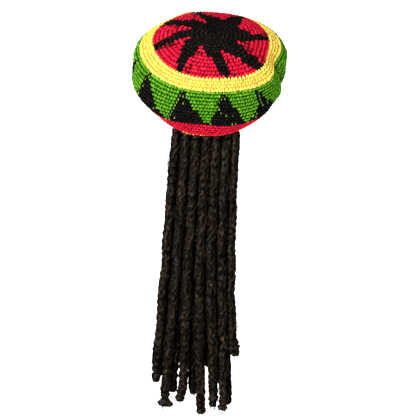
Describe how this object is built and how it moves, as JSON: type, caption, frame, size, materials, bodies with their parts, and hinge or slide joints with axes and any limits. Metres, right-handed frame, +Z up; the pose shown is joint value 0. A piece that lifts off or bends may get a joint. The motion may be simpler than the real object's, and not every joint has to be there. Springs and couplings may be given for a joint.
{
  "type": "crocheted tam with locks",
  "caption": "Crocheted round tam in red, yellow, green and black, with twisted fibre locks that hang from the back of its head opening.",
  "frame": {"origin": "centre of the head opening, in the plane of its edge", "axes": "+Z up through the crown, +Y the way the wearer faces, -Y the back where the locks hang"},
  "size_m": [0.26, 0.2476, 0.7323],
  "materials": {
    "red_yarn": "matte",
    "yellow_yarn": "matte",
    "green_yarn": "matte",
    "black_yarn": "matte",
    "lock_fibre": "matte"
  },
  "bodies": {
    "root": {"crown": "red_yarn", "yellow_round": "yellow_yarn", "side_wall": "green_yarn", "red_band": "red_yarn", "opening_edge": "yellow_yarn", "weft": "black_yarn", "lock_01": "lock_fibre", "lock_02": "lock_fibre", "lock_03": "lock_fibre", "lock_04": "lock_fibre", "lock_05": "lock_fibre", "lock_06": "lock_fibre", "lock_07": "lock_fibre", "lock_08": "lock_fibre", "lock_09": "lock_fibre", "lock_10": "lock_fibre", "lock_11": "lock_fibre", "lock_12": "lock_fibre", "lock_13": "lock_fibre"}
  },
  "joints": []
}
